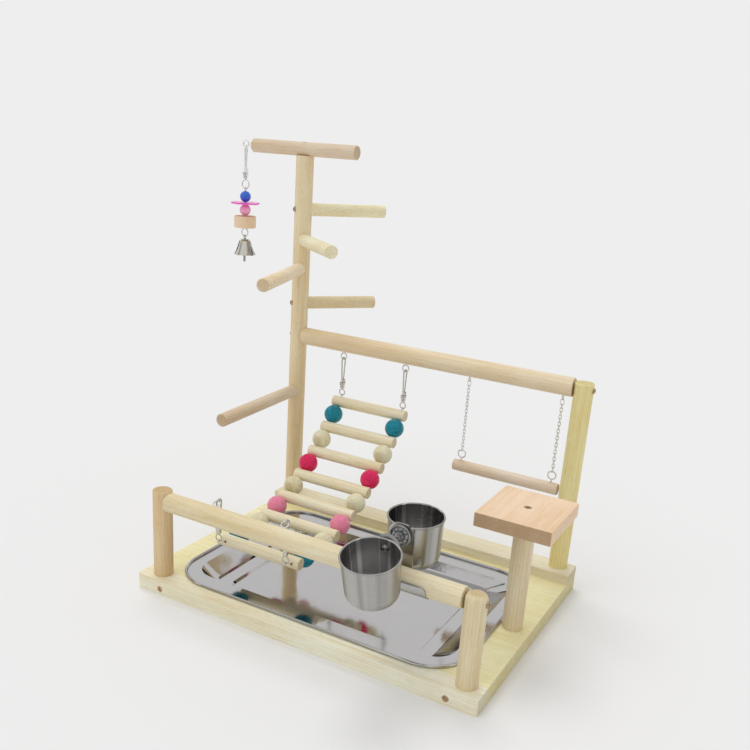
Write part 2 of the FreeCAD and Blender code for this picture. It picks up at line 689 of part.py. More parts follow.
ladder_rungs = []
for before, centre, after in zip(wire_route, wire_route[1:], wire_route[2:]):
    rung = dowel(centre + ALONG_X * (LADDER_X - RUNG_LENGTH / 2),
                 centre + ALONG_X * (LADDER_X + RUNG_LENGTH / 2), RUNG_R)
    into = (centre - before).normalize()
    onward = (after - centre).normalize()
    along = (into + onward).normalize() * (RUNG_R + 1)
    for x in ladder_xs:
        bore_centre = centre + ALONG_X * x
        rung = rung.cut(rod(bore_centre - along, bore_centre + along, RUNG_BORE_R))
    ladder_rungs.append(rung)

ladder_beads = {}
for colour, start, end in zip(BEAD_COLOURS, rung_centres, rung_centres[1:]):
    middle = (start + end) * 0.5
    along = (end - start).normalize() * (LADDER_BEAD_R + 1)
    for x in ladder_xs:
        centre = middle + ALONG_X * x
        bead_ball = ball(centre, LADDER_BEAD_R)
        bead_ball = bead_ball.cut(rod(centre - along, centre + along, BEAD_BORE_R))
        ladder_beads.setdefault(colour, []).append(bead_ball)


# ---- hanging toy --------------------------------------------------------------------------

toy_x = TALL_POST_X - TOP_PERCH_LEFT - TOY_EYE_OUT
toy_eye = screw_eye(V(toy_x, BACK_ROW_Y, TOY_EYE_Z), ALONG_X, ALONG_Y, EYE_RING_R, EYE_WIRE_R,
                    TOY_EYE_OUT)
toy_hook_place = V(toy_x, BACK_ROW_Y, TOY_EYE_Z - EYE_RING_R + hook_rise)
toy_hook, toy_gate, toy_ring = snap_hook(toy_hook_place, TOY_HOOK_RING_R)
for shape in (toy_hook, toy_gate):
    shape.rotate(toy_hook_place, UP, TOY_HOOK_TURN)
toy_string_pivot = toy_hook_place + UP * (HOOK_RING_TOP - 2 * TOY_HOOK_RING_R)


def on_toy(z):
    return V(toy_x, BACK_ROW_Y, z)


def drilled_ball(radius, z):
    bead_ball = ball(on_toy(z), radius)
    return bead_ball.cut(rod(on_toy(z - radius - 1), on_toy(z + radius + 1),
                             TOY_WIRE_R + SPIN_GAP))


def flower_washer_shape():
    low = FLOWER_Z - FLOWER_THICK / 2
    plate = Part.makeCylinder(FLOWER_R - PETAL_R, FLOWER_THICK, on_toy(low))
    for index in range(FLOWER_PETALS):
        out = heading(360.0 * index / FLOWER_PETALS) * (FLOWER_R - PETAL_R)
        plate = plate.fuse(Part.makeCylinder(PETAL_R, FLOWER_THICK, on_toy(low) + out))
    plate = plate.removeSplitter()
    bore = Part.makeCylinder(TOY_WIRE_R + SPIN_GAP, FLOWER_THICK + 2, on_toy(low - 1))
    return plate.cut(bore)


def toy_wire_shape():
    top_loop = toy_string_pivot - UP * WIRE_LOOP_RISE
    stem_top = top_loop - UP * WIRE_LOOP_R
    bottom_loop = on_toy(TOY_LOOP_Z)
    stem_foot = bottom_loop + UP * TOY_LOOP_R
    disc_foot = WOOD_DISC[1] - SPIN_GAP
    stop = rod(on_toy(disc_foot - TOY_STOP_THICK), on_toy(disc_foot), TOY_STOP_R)
    return merged([ring(top_loop, ALONG_X, WIRE_LOOP_R, TOY_WIRE_R),
                   rod(stem_top, stem_foot, TOY_WIRE_R),
                   stop,
                   ring(bottom_loop, ALONG_Y, TOY_LOOP_R, HOOK_RING_WIRE_R)])


def disc_shape():
    radius, low, high = WOOD_DISC
    disc = dowel(on_toy(low), on_toy(high), radius)
    return disc.cut(rod(on_toy(low - 1), on_toy(high + 1), TOY_WIRE_R + SPIN_GAP))


bell_pivot_z = TOY_LOOP_Z - TOY_LOOP_R


def bell_outline(shrink):
    """The bell's outer outline, or with shrink its inner one, as (radius, height) points."""
    height = BELL_TOP_Z - BELL_RIM_Z
    outline = [(0.0, height), (0.34, 0.97), (0.50, 0.86), (0.57, 0.70), (0.65, 0.50), (0.76, 0.28),
               (0.88, 0.10), (1.0, 0.0)]
    points = []
    for index, (across, up) in enumerate(outline):
        level = height if index == 0 else up * height
        points.append((max(across * BELL_RIM_R - shrink, 0.0), level - shrink))
    return points


def bell_shape():
    foot = V(toy_x, BACK_ROW_Y, BELL_RIM_Z)
    outer = turned(bell_outline(0) + [(0.0, 0.0)], foot, UP)
    inner = turned(bell_outline(BELL_SHEET) + [(0.0, -BELL_SHEET)], foot, UP)
    shell = outer.cut(inner)
    loop = ring(on_toy(bell_pivot_z - WIRE_LOOP_RISE), ALONG_X, BELL_LOOP_R, TOY_WIRE_R)
    neck = rod(on_toy(BELL_TOP_Z - BELL_SHEET / 2),
               on_toy(bell_pivot_z - WIRE_LOOP_RISE - BELL_LOOP_R), BELL_NECK_R)
    hanger = ring(on_toy(CLAPPER_RING_Z), ALONG_Y, CLAPPER_RING_R, CLAPPER_ROD_R)
    stalk = rod(on_toy(CLAPPER_RING_Z + CLAPPER_RING_R), on_toy(BELL_TOP_Z - BELL_SHEET / 2),
                CLAPPER_ROD_R)
    return merged([shell, loop, neck, hanger, stalk])


clapper_pivot_z = CLAPPER_RING_Z - CLAPPER_RING_R


def clapper_shape():
    loop_z = clapper_pivot_z - WIRE_LOOP_RISE
    loop = ring(on_toy(loop_z), ALONG_X, WIRE_LOOP_R, CLAPPER_ROD_R)
    rod_top = on_toy(loop_z - WIRE_LOOP_R)
    return merged([loop, rod(rod_top, on_toy(CLAPPER_PIN_TOP_Z - 1), CLAPPER_ROD_R),
                   rod(on_toy(CLAPPER_PIN_TOP_Z), on_toy(CLAPPER_FOOT_Z), CLAPPER_PIN_R),
                   ball(on_toy(CLAPPER_FOOT_Z), CLAPPER_PIN_R)])


# ---- cup bracket and cups -----------------------------------------------------------------

perch_axis = V(BRACKET_X, FRONT_ROW_Y, FRONT_PERCH_Z)
saddle_r = POST_R + SEAT_GAP


class Tongue:
    """One upright of the bracket: its foot, its direction up and its outward normal."""

    def __init__(self, lean, side, bolt_up, above_bolt, rim_up, depth):
        angle = math.radians(lean)
        self.side = side
        self.up = V(0, -math.sin(angle), math.cos(angle))
        self.out = V(0, math.cos(angle), math.sin(angle)) * side
        self.foot = perch_axis + self.out * (saddle_r + BRACKET_SHEET)
        self.bolt = self.foot + self.up * bolt_up
        self.top = bolt_up + above_bolt
        self.rim_centre = self.foot + self.up * (bolt_up + rim_up) + self.out * (
            CUP_TOP_R + CUP_RIM_WIRE_R + CUP_STANDOFF)
        self.depth = depth
        self.wall_r = CUP_TOP_R - CUP_TAPER * rim_up / (depth - CUP_BOTTOM_R)


front_tongue = Tongue(FRONT_LEAN, -1, FRONT_BOLT_UP, FRONT_TONGUE_ABOVE_BOLT,
                      FRONT_RIM_ABOVE_BOLT, FRONT_CUP_DEPTH)
rear_tongue = Tongue(REAR_LEAN, 1, REAR_BOLT_UP, REAR_TONGUE_ABOVE_BOLT,
                     REAR_RIM_ABOVE_BOLT, REAR_CUP_DEPTH)


def tongue_plate(tongue):
    """A flat upright with two round top corners and a hole for the bolt."""
    half = TONGUE_WIDTH / 2
    corner = TONGUE_CORNER_R
    top = tongue.top
    outline = [
        Part.makeLine(V(-half, 0, 0), V(half, 0, 0)),
        Part.makeLine(V(half, 0, 0), V(half, top - corner, 0)),
        Part.makeCircle(corner, V(half - corner, top - corner, 0), UP, 0, 90),
        Part.makeLine(V(half - corner, top, 0), V(corner - half, top, 0)),
        Part.makeCircle(corner, V(corner - half, top - corner, 0), UP, 90, 180),
        Part.makeLine(V(-half, top - corner, 0), V(-half, 0, 0)),
    ]
    plate = Part.Face(Part.Wire(Part.__sortEdges__(outline))).extrude(V(0, 0, BRACKET_SHEET))
    normal = ALONG_X.cross(tongue.up)
    start = tongue.foot
    if tongue.side < 0:
        start = tongue.foot - tongue.out * BRACKET_SHEET
    plate.Placement = FreeCAD.Placement(start, FreeCAD.Rotation(ALONG_X, tongue.up, normal, "ZXY"))
    return plate


def bent_strip(half_length_x, low_angle, high_angle):
    """Part of the sleeve round the perch, between two angles from +Y about the +X axis."""
    section = box(V(-half_length_x, saddle_r, 0),
                  V(half_length_x, saddle_r + BRACKET_SHEET, 0.001))
    face = [side for side in section.Faces if abs(side.CenterOfMass.z) < 1e-6][0]
    strip = face.revolve(V(0, 0, 0), ALONG_X, high_angle - low_angle)
    strip.rotate(V(0, 0, 0), ALONG_X, low_angle)
    strip.translate(perch_axis)
    return strip


def cup_saddle_shape():
    core = bent_strip(TONGUE_WIDTH / 2, FRONT_LEAN - 180.0, REAR_LEAN)
    wrap = math.degrees(math.asin(SADDLE_WRAP / saddle_r))
    wide = bent_strip(SADDLE_LENGTH / 2, -180.0 - wrap, wrap)
    window = rounded_window()
    wide = wide.common(window)
    gap = box(perch_axis + V(-TONGUE_WIDTH / 2, -40, -40), perch_axis + V(TONGUE_WIDTH / 2, 40, 40))
    whole = merged([core, wide.cut(gap), tongue_plate(front_tongue), tongue_plate(rear_tongue)])
    for tongue in (front_tongue, rear_tongue):
        start = tongue.bolt + tongue.out
        end = tongue.bolt - tongue.out * (BRACKET_SHEET + 1)
        whole = whole.cut(rod(start, end, CUP_BOLT_R + 0.1))
    return whole


def rounded_window():
    """Rounds the saddle's four upper corners, seen from the front."""
    half = SADDLE_LENGTH / 2
    low = perch_axis.z - saddle_r - BRACKET_SHEET - 1
    high = perch_axis.z + SADDLE_WRAP
    block = box(V(BRACKET_X - half, FRONT_ROW_Y - 40, low), V(BRACKET_X + half, FRONT_ROW_Y + 40, high))
    upper = [edge for edge in block.Edges
             if abs(edge.Vertexes[0].Y - edge.Vertexes[-1].Y) > 1 and edge.Vertexes[0].Z > high - 1]
    return block.makeFillet(SADDLE_CORNER_R, upper)


def cup_body(tongue, shrink):
    """The cup's filled outline, standing on its rim's centre and hanging down its own axis."""
    depth = tongue.depth - shrink
    top = CUP_TOP_R - shrink
    low = CUP_TOP_R - CUP_TAPER - shrink
    bend = CUP_BOTTOM_R - shrink
    wall = Part.makeLine(V(top, 0, 0), V(low, 0, bend - depth))
    middle = V(low - bend * (1 - math.cos(math.pi / 4)), 0,
               bend - depth - bend * math.sin(math.pi / 4))
    corner = Part.Arc(V(low, 0, bend - depth), middle, V(low - bend, 0, -depth)).toShape()
    floor = Part.makeLine(V(low - bend, 0, -depth), V(0, 0, -depth))
    centre_line = Part.makeLine(V(0, 0, -depth), V(0, 0, 0))
    lid = Part.makeLine(V(0, 0, 0), V(top, 0, 0))
    face = Part.Face(Part.Wire([wall, corner, floor, centre_line, lid]))
    return face.revolve(V(0, 0, 0), UP, 360)


def cup_shape(tongue):
    cup = cup_body(tongue, 0).cut(cup_body(tongue, CUP_SHEET))
    cup = cup.fuse(Part.makeTorus(CUP_TOP_R, CUP_RIM_WIRE_R, V(0, 0, 0), UP)).removeSplitter()
    cup.Placement = FreeCAD.Placement(tongue.rim_centre, FreeCAD.Rotation(UP, tongue.up))
    start = tongue.bolt
    return cup.cut(rod(start, start + tongue.out * 8, CUP_BOLT_R + SEAT_GAP))


def cup_bolt_shape(tongue):
    """Dome head inside the cup, spacer against the tongue and a shaft to beyond the nut."""
    wall_face = CUP_TOP_R + CUP_RIM_WIRE_R + CUP_STANDOFF - tongue.wall_r
    spacer_end = wall_face - 0.35
    head_seat = wall_face + CUP_SHEET + 0.45
    shaft_end = -(BRACKET_SHEET + CUP_STANDOFF + ROSETTE_THICK + BOLT_BEYOND_NUT)
    profile = [(0, head_seat + BOLT_HEAD_H), (BOLT_HEAD_R * 0.55, head_seat + BOLT_HEAD_H * 0.88),
               (BOLT_HEAD_R * 0.9, head_seat + BOLT_HEAD_H * 0.5), (BOLT_HEAD_R, head_seat),
               (CUP_BOLT_R, head_seat), (CUP_BOLT_R, spacer_end),
               (CUP_BOLT_R * 2, spacer_end), (CUP_BOLT_R * 2, CUP_STANDOFF),
               (CUP_BOLT_R, CUP_STANDOFF), (CUP_BOLT_R, shaft_end + 0.8),
               (CUP_BOLT_R - 0.8, shaft_end), (0, shaft_end)]
    return turned(profile, tongue.bolt, tongue.out)


def rosette_shape(tongue):
    """A round nut with a toothed edge and ringed steps on its outer side."""
    seat = -(BRACKET_SHEET + CUP_STANDOFF)
    bore = CUP_BOLT_R + 0.08
    profile = [(bore, seat), (ROSETTE_R, seat), (ROSETTE_R, seat - ROSETTE_THICK * 0.5),
               (ROSETTE_R * 0.86, seat - ROSETTE_THICK * 0.62),
               (ROSETTE_R * 0.72, seat - ROSETTE_THICK * 0.5),
               (ROSETTE_R * 0.58, seat - ROSETTE_THICK * 0.8),
               (ROSETTE_R * 0.44, seat - ROSETTE_THICK * 0.68),
               (ROSETTE_R * 0.4, seat - ROSETTE_THICK), (bore, seat - ROSETTE_THICK)]
    nut = turned(profile, tongue.bolt, tongue.out)
    across = ALONG_X
    upward = tongue.up
    for index in range(ROSETTE_TEETH):
        angle = 2 * math.pi * index / ROSETTE_TEETH
        out = across * math.cos(angle) + upward * math.sin(angle)
        start = tongue.bolt + out * (ROSETTE_R + 0.25)
        cutter = rod(start + tongue.out, start - tongue.out * (ROSETTE_THICK + 4),
                     ROSETTE_TOOTH_R)
        nut = nut.cut(cutter)
    return nut


# ---- write the parts ----------------------------------------------------------------------


def without(shape, cutters):
    for cutter in cutters:
        if shape.BoundBox.intersect(cutter.BoundBox):
            shape = shape.cut(cutter)
    return shape


os.makedirs("parts", exist_ok=True)

held = [screw.hole for screw in screws] + swing_eyes + ladder_eyes + [toy_eye]
save("base_panel", without(base_panel, held))
save("front_batten", without(front_batten, held))
save("back_batten", without(back_batten, held))
save("tall_post", without(tall_post, held))
save("right_back_post", without(right_back_post, held))
save("front_left_post", without(front_left_post, held))
save("front_right_post", without(front_right_post, held))
save("platform_post", without(platform_post, held))
save("platform_block", without(platform_block, held))
save("top_perch", without(top_perch, held))
for number, perch in enumerate(side_perches, 1):
    save("side_perch_" + str(number), without(perch, held))
save("long_perch", without(long_perch, held))
save("front_perch", without(front_perch, held))
save("wood_screws", *[screw.solid for screw in screws])
save("tray", tray)

save("swing_eyes", *swing_eyes)
save("swing_chains", *swing_chains)
save("swing_bar_eyes", *swing_bar_eyes)
save("swing_bar", swing_bar)

save("ladder_eyes", *ladder_eyes)
save("ladder_wires", *ladder_wires)
save("ladder_rungs", *ladder_rungs)
for colour, beads in ladder_beads.items():
    save(colour + "_beads", *beads)
for number, (hook, gate, swivel) in enumerate(ladder_hooks, 1):
    save("ladder_hook_" + str(number), hook)
    save("ladder_gate_" + str(number), gate)
    save("ladder_hook_ring_" + str(number), swivel)

save("toy_eye", toy_eye)
save("toy_hook", toy_hook)
save("toy_gate", toy_gate)
save("toy_ring", toy_ring)
save("toy_wire", toy_wire_shape())
save("blue_bead", drilled_ball(*BLUE_BEAD))
save("flower_washer", flower_washer_shape())
save("pink_bead", drilled_ball(*PINK_BEAD))
save("wood_disc", disc_shape())
save("bell", bell_shape())
save("bell_clapper", clapper_shape())

save("cup_saddle", cup_saddle_shape())
save("front_cup", cup_shape(front_tongue))
save("rear_cup", cup_shape(rear_tongue))
save("front_cup_bolt", cup_bolt_shape(front_tongue))
save("rear_cup_bolt", cup_bolt_shape(rear_tongue))
save("front_rosette", rosette_shape(front_tongue))
save("rear_rosette", rosette_shape(rear_tongue))

print("swing pivot z", round(swing_pivot_z, 2), "bar pivot z", round(bar_pivot_z, 2))
print("top hook pivot", top_hook_place, "front hook pivot", front_hook_place)
print("hook drop", ladder_hook_drop, "ladder x", ladder_xs)
print("toy hook pivot", toy_hook_place, "toy string pivot", toy_string_pivot)
print("bell pivot z", bell_pivot_z, "clapper pivot z", clapper_pivot_z)
print("front bolt", front_tongue.bolt, front_tongue.out, "rim", front_tongue.rim_centre)
print("rear bolt", rear_tongue.bolt, rear_tongue.out, "rim", rear_tongue.rim_centre)
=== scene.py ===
"""Looks of the parrot play stand: materials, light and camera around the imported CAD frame."""
import math

import bpy
from mathutils import Matrix, Vector


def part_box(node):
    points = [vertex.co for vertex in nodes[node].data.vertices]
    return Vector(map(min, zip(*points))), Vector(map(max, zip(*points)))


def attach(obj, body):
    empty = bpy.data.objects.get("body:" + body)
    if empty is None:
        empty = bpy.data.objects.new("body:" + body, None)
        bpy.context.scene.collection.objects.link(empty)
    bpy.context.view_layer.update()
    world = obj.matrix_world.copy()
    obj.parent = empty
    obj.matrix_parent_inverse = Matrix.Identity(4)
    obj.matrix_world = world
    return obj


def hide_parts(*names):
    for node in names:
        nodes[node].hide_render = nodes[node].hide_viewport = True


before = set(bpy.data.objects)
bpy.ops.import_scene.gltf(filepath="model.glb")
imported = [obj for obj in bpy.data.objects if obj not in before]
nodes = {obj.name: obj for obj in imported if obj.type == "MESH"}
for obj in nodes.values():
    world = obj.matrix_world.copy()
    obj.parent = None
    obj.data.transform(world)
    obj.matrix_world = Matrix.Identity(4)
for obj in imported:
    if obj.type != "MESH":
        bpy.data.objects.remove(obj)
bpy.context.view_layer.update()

MM = 0.001
X = Vector((1, 0, 0))
Y = Vector((0, 1, 0))
Z = Vector((0, 0, 1))


# ---- node helpers -------------------------------------------------------------------------

MIX_A = 6                     # the colour sockets of a mix node
MIX_B = 7
MIX_RESULT = 2


def rgba(colour):
    return tuple(colour) + (1.0,)


def grey(level):
    return (level,) * 3 + (1.0,)


def darker(colour, share):
    return tuple(share * channel for channel in colour)


def srgb(red, green, blue):
    """Linear colour from the usual 0-255 numbers."""
    out = []
    for channel in (red, green, blue):
        level = channel / 255
        out.append(level / 12.92 if level <= 0.04045 else ((level + 0.055) / 1.055) ** 2.4)
    return tuple(out)


class Tree:
    """A material's node tree with short calls for the nodes used here."""

    def __init__(self, name):
        self.material = bpy.data.materials.new(name)
        self.material.use_nodes = True
        self.tree = self.material.node_tree
        self.shader = self.tree.nodes["Principled BSDF"]
        self.coords = self.tree.nodes.new("ShaderNodeTexCoord")

    def add(self, kind, **settings):
        node = self.tree.nodes.new(kind)
        for key, value in settings.items():
            setattr(node, key, value)
        return node

    def link(self, source, target):
        self.tree.links.new(source, target)

    def feed(self, socket, value):
        if isinstance(value, bpy.types.NodeSocket):
            self.link(value, socket)
        else:
            socket.default_value = value

    def set(self, name, value):
        self.feed(self.shader.inputs[name], value)

    def local(self, origin, along):
        """Object coordinates with their zero at origin and their z along the given axis."""
        mapping = self.add("ShaderNodeMapping", vector_type="TEXTURE")
        self.link(self.coords.outputs["Object"], mapping.inputs["Vector"])
        mapping.inputs["Location"].default_value = origin
        turn = Vector(along).normalized().to_track_quat("Z", "Y")
        mapping.inputs["Rotation"].default_value = turn.to_euler()
        return mapping.outputs["Vector"]

    def stretched(self, vector, scale):
        mapping = self.add("ShaderNodeMapping", vector_type="POINT")
        self.link(vector, mapping.inputs["Vector"])
        mapping.inputs["Scale"].default_value = scale
        return mapping.outputs["Vector"]

    def noise(self, vector, scale=1.0, detail=2.0, rough=0.5):
        node = self.add("ShaderNodeTexNoise")
        self.link(vector, node.inputs["Vector"])
        node.inputs["Scale"].default_value = scale
        node.inputs["Detail"].default_value = detail
        node.inputs["Roughness"].default_value = rough
        return node.outputs["Fac"]

    def math(self, operation, a, b=0.0, clamp=False):
        node = self.add("ShaderNodeMath", operation=operation, use_clamp=clamp)
        self.feed(node.inputs[0], a)
        self.feed(node.inputs[1], b)
        return node.outputs[0]

    def vector(self, operation, a, b=None):
        """A vector operation's node."""
        node = self.add("ShaderNodeVectorMath", operation=operation)
        self.feed(node.inputs[0], a)
        if b is not None:
            self.feed(node.inputs[1], b)
        return node

    def ramp(self, value, low, high, to_low=0.0, to_high=1.0):
        node = self.add("ShaderNodeMapRange", clamp=True)
        self.feed(node.inputs["Value"], value)
        node.inputs["From Min"].default_value = low
        node.inputs["From Max"].default_value = high
        node.inputs["To Min"].default_value = to_low
        node.inputs["To Max"].default_value = to_high
        return node.outputs["Result"]

    def curve(self, value, points):
        """Straight stretches through (x, y) points, from 0..1 to 0..1."""
        node = self.add("ShaderNodeValToRGB")
        self.feed(node.inputs["Fac"], value)
        elements = node.color_ramp.elements
        while len(elements) > 1:
            elements.remove(elements[-1])
        elements[0].position = points[0][0]
        elements[0].color = grey(points[0][1])
        for place, level in points[1:]:
            element = elements.new(place)
            element.color = grey(level)
        return node.outputs["Color"]

    def mix(self, factor, a, b, blend="MIX"):
        node = self.add("ShaderNodeMix", data_type="RGBA", blend_type=blend)
        self.feed(node.inputs["Factor"], factor)
        for socket, colour in ((MIX_A, a), (MIX_B, b)):
            plain = not isinstance(colour, bpy.types.NodeSocket)
            self.feed(node.inputs[socket], rgba(colour) if plain else colour)
        return node.outputs[MIX_RESULT]

    def bump(self, height, strength, distance):
        node = self.add("ShaderNodeBump")
        self.link(height, node.inputs["Height"])
        node.inputs["Strength"].default_value = strength
        node.inputs["Distance"].default_value = distance
        self.link(node.outputs["Normal"], self.shader.inputs["Normal"])


def paint(node, material):
    mesh = nodes[node].data
    mesh.materials.clear()
    mesh.materials.append(material)
    for polygon in mesh.polygons:
        polygon.material_index = 0


def centre(node):
    low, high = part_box(node)
    return (low + high) / 2


# ---- timber -------------------------------------------------------------------------------

GRAIN_FADE = (0.86, 0.74, 0.56)      # the dark grain's share of the light tone, per channel

# cells per metre are given across the grain, across it again, and along it
RING_STRAY_CELLS = (34, 34, 5)
RING_STRAY = 2.6              # how far the growth rings stray, in ring steps
RING_SHAPE = ((0.0, 0.05), (0.55, 0.35), (0.86, 1.0), (1.0, 0.05))
RING_WEIGHT = 0.6
GRAIN_LAYERS = (              # cells per metre, detail, roughness, low and high end, weight
    ((900, 900, 16), 4, 0.60, 0.30, 0.70, 0.35),       # fibres
    ((240, 240, 7), 4, 0.65, 0.38, 0.66, 0.80),        # streaks
    ((520, 520, 60), 2, 0.60, 0.55, 0.72, 0.60),       # short flecks
)
PATCH_CELLS = (30, 30, 9)
PATCH_RANGE = (-0.28, 0.30)   # what a pale and a dark patch add
PORE_CELLS = (1500, 1500, 85)
PORE_EDGE = (0.62, 0.72)
PORE_DEPTH = 0.35
DEEP_SHARE = 0.62             # the darkest grain's share of the dark tone
END_TURN = (0.75, 0.95)       # how square to the grain a face is that shows end grain
END_TINT = (1.0, 0.95, 0.88)
END_CELLS = (190, 190, 14)
END_EDGE = (0.36, 0.66)
COUNTERSINK_PAINTED_SHADE = 0.22             # painted shade round a countersunk screw, as a share of the dark tone
WOOD_ROUGH = (0.50, 0.68)
WOOD_SPECULAR = 0.35
WOOD_FIBRE_HEIGHT = 0.5       # share of a pore's depth
WOOD_RELIEF = 0.35
WOOD_RELIEF_DEPTH = 0.12 * MM


def wood(name, light, along, origin, ring_step=4.0, pith=(30.0, 22.0), ring_depth=0.5,
         fibre_depth=0.5, end_tone=0.80, end_streaks=0.0, painted_sink_shade=None):
    """Sawn and sanded timber: growth rings about a distant pith, fibres, pores, end grain.

    ring_step and pith are in millimetres; along is the direction of the grain. The last
    argument is the place of a countersunk screw and the inner and outer radius of a soft
    ring of painted shade round it."""
    dark = tuple(channel * fade for channel, fade in zip(light, GRAIN_FADE))
    deep = darker(dark, DEEP_SHARE)
    t = Tree(name)
    p = t.local(origin, along)
    wander = t.noise(t.stretched(p, RING_STRAY_CELLS), detail=2)
    separate = t.add("ShaderNodeSeparateXYZ")
    t.link(p, separate.inputs[0])
    across = t.math("ADD", separate.outputs[0], pith[0] * MM)
    up = t.math("ADD", separate.outputs[1], pith[1] * MM)
    distance = t.math("SQRT", t.math("ADD", t.math("MULTIPLY", across, across),
                                     t.math("MULTIPLY", up, up)))
    rings = t.math("ADD", t.math("DIVIDE", distance, ring_step * MM),
                   t.math("MULTIPLY", wander, RING_STRAY))
    ring = t.curve(t.math("FRACT", rings), RING_SHAPE)
    tone = t.math("MULTIPLY", ring, ring_depth * RING_WEIGHT)
    layers = []
    for cells, detail, rough, low, high, weight in GRAIN_LAYERS:
        layer = t.noise(t.stretched(p, cells), detail=detail, rough=rough)
        layers.append(layer)
        share = t.math("MULTIPLY", t.ramp(layer, low, high), fibre_depth * weight)
        tone = t.math("ADD", tone, share)
    fibre = layers[0]
    patch = t.noise(t.stretched(p, PATCH_CELLS), detail=3)
    tone = t.math("ADD", tone, t.ramp(patch, 0.3, 0.7, *PATCH_RANGE), clamp=True)
    pores = t.ramp(t.noise(t.stretched(p, PORE_CELLS), detail=1), *PORE_EDGE)
    colour = t.mix(tone, light, dark)
    colour = t.mix(t.math("MULTIPLY", pores, PORE_DEPTH), colour, deep)

    facing = t.vector("DOT_PRODUCT", t.coords.outputs["Normal"], Vector(along).normalized())
    on_end = t.ramp(t.math("ABSOLUTE", facing.outputs["Value"]), *END_TURN)
    end = t.mix(1.0, colour, darker(END_TINT, end_tone), "MULTIPLY")
    if end_streaks:
        upright = t.noise(t.stretched(t.coords.outputs["Object"], END_CELLS), detail=3,
                          rough=0.65)
        end = t.mix(t.math("MULTIPLY", t.ramp(upright, *END_EDGE), end_streaks), end, deep)
    surface = t.mix(on_end, colour, end)
    # painted shade: a soft dark ring on the wood round the countersunk screw
    if painted_sink_shade:
        spot, painted_inside_reflection, outer = painted_sink_shade
        gap = t.vector("DISTANCE", t.coords.outputs["Object"], spot)
        painted_shade_ring_mask = t.ramp(gap.outputs["Value"], painted_inside_reflection * MM, outer * MM, 1.0, 0.0)
        surface = t.mix(painted_shade_ring_mask, surface, darker(dark, COUNTERSINK_PAINTED_SHADE))
    t.set("Base Color", surface)
    t.set("Roughness", t.ramp(fibre, 0.2, 0.8, *WOOD_ROUGH))
    t.set("Specular IOR Level", WOOD_SPECULAR)
    height = t.math("SUBTRACT", t.math("MULTIPLY", fibre, WOOD_FIBRE_HEIGHT), pores)
    t.bump(height, WOOD_RELIEF, WOOD_RELIEF_DEPTH)
    return t.material


# each piece's light tone and the direction of its grain
TIMBER = {
    "tall_post": ((238, 223, 188), Z),
    "right_back_post": ((242, 233, 174), Z),
    "front_left_post": ((229, 205, 163), Z),
    "front_right_post": ((233, 221, 188), Z),
    "platform_post": ((232, 221, 193), Z),
    "top_perch": ((230, 214, 194), X),
    "long_perch": ((239, 224, 196), X),
    "front_perch": ((237, 228, 198), X),
    "swing_bar": ((233, 218, 201), X),
    "ladder_rungs": ((243, 237, 212), X),
    "front_batten": ((247, 247, 228), X),
    "back_batten": ((235, 231, 208), X),
    "base_panel": ((247, 245, 202), X),
    "wood_disc": ((247, 222, 194), Z),
    "natural_beads": ((233, 230, 202), Y),
    "side_perch_1": ((247, 241, 208), Y),
    "side_perch_2": ((247, 244, 216), Y),
    "side_perch_3": ((247, 235, 211), Y),
    "side_perch_4": ((231, 217, 182), Y),
    "side_perch_5": ((226, 210, 188), Y),
}
PITH_DISTANCE = 45                   # in millimetres
PITH_OFFSET = (8, -6)
PITH_TURN = 0.7                      # from each piece to the next, in radians
for index, (node, (tone, along)) in enumerate(sorted(TIMBER.items())):
    turn = PITH_TURN * index
    pith = (PITH_DISTANCE * math.cos(turn) + PITH_OFFSET[0],
            PITH_DISTANCE * math.sin(turn) + PITH_OFFSET[1])
    paint(node, wood("wood_" + node, srgb(*tone), along, centre(node), pith=pith))

BLOCK_TONE = (244, 218, 190)
PAINTED_SHADE_RING = (4.2, 4.9)               # inner and outer radius of the painted shade round the screw, in millimetres
low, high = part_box("platform_block")
sink_spot = Vector(((low.x + high.x) / 2, (low.y + high.y) / 2, high.z))
paint("platform_block", wood("wood_platform_block", srgb(*BLOCK_TONE), Y,
                             centre("platform_block"), ring_step=7.0, pith=(20, 60),
                             ring_depth=0.45, fibre_depth=0.4, end_tone=0.62,
                             end_streaks=0.75, painted_sink_shade=(sink_spot, *PAINTED_SHADE_RING)))


# ---- colours ------------------------------------------------------------------------------

STAIN_CELLS = (520, 520, 50)
STAIN_FIBRE_SHARE = 0.75
STAIN_COAT = 0.15
STAIN_RELIEF_DEPTH = 0.08 * MM
MOULD_COAT = 0.3
MOULD_GLOW_REACH = (2.0 * MM, 1.0 * MM, 1.0 * MM)
MOULD_RELIEF_DEPTH = 0.1 * MM


def stained(name, colour, shade):
    """A turned ball whose colour soaks into the wood, under a thin coat; grain along Y."""
    t = Tree(name)
    p = t.local((0, 0, 0), Y)
    fibre = t.noise(t.stretched(p, STAIN_CELLS), detail=3, rough=0.65)
    cloud = t.noise(p, scale=90, detail=2)
    tone = t.math("ADD", t.math("MULTIPLY", t.ramp(fibre, 0.38, 0.64), STAIN_FIBRE_SHARE),
                  t.math("MULTIPLY", t.ramp(cloud, 0.3, 0.7), 1 - STAIN_FIBRE_SHARE),
                  clamp=True)
    t.set("Base Color", t.mix(tone, colour, shade))
    t.set("Roughness", t.ramp(fibre, 0.2, 0.8, 0.36, 0.52))
    t.set("Specular IOR Level", 0.3)
    t.set("Coat Weight", STAIN_COAT)
    t.set("Coat Roughness", 0.15)
    t.bump(fibre, 0.25, STAIN_RELIEF_DEPTH)
    return t.material


